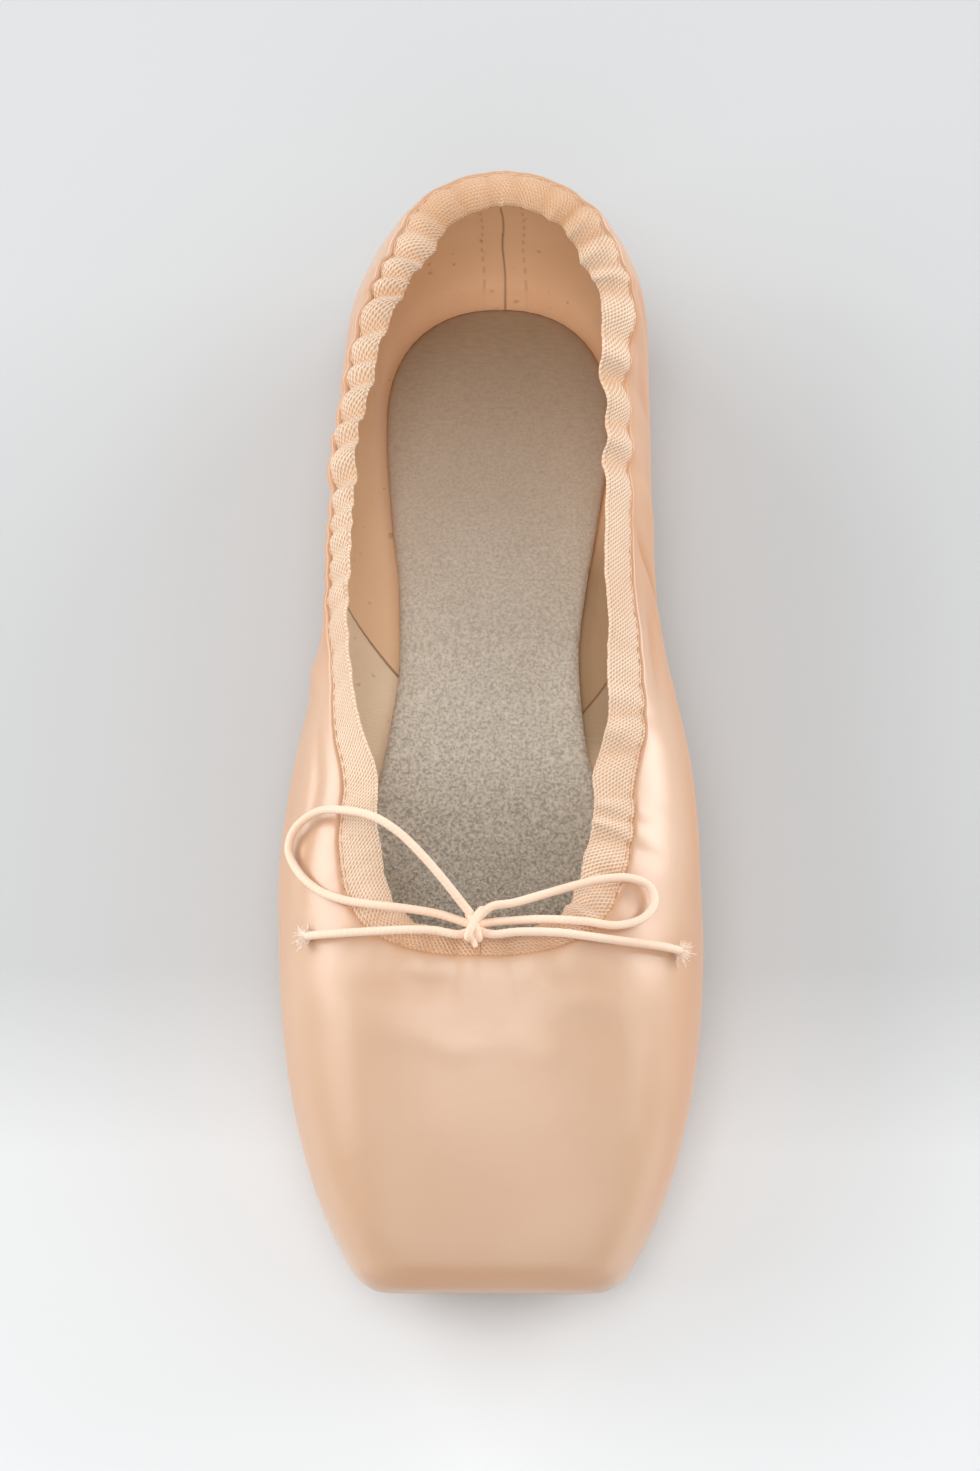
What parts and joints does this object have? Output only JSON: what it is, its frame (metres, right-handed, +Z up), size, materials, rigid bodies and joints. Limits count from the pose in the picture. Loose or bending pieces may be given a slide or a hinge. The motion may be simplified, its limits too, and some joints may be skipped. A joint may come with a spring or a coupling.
{
  "type": "pointe shoe",
  "caption": "Satin ballet pointe shoe: hollow upper with a stiff flat-ended toe box, tape casing with a drawstring tied in a bow, insole board and leather outsole.",
  "frame": {"origin": "on the floor under the middle of the shoe's bounding box", "axes": "+Z up, the toe platform towards -Y, the heel towards +Y, +X to the right seen from above with the toe nearest"},
  "size_m": [0.0862, 0.2379, 0.0583],
  "materials": {
    "satin": "glossy satin weave",
    "tape": "matt herringbone cotton tape",
    "sole_leather": "plain split leather",
    "insole_board": "matt grainy board",
    "cord": "smooth cotton cord"
  },
  "bodies": {
    "root": {"upper": "satin", "binding": "tape", "outsole": "sole_leather", "insole": "insole_board", "drawstring_knot": "cord", "drawstring_loop_left": "cord", "drawstring_end_left": "cord", "drawstring_loop_right": "cord", "drawstring_end_right": "cord"}
  },
  "joints": []
}
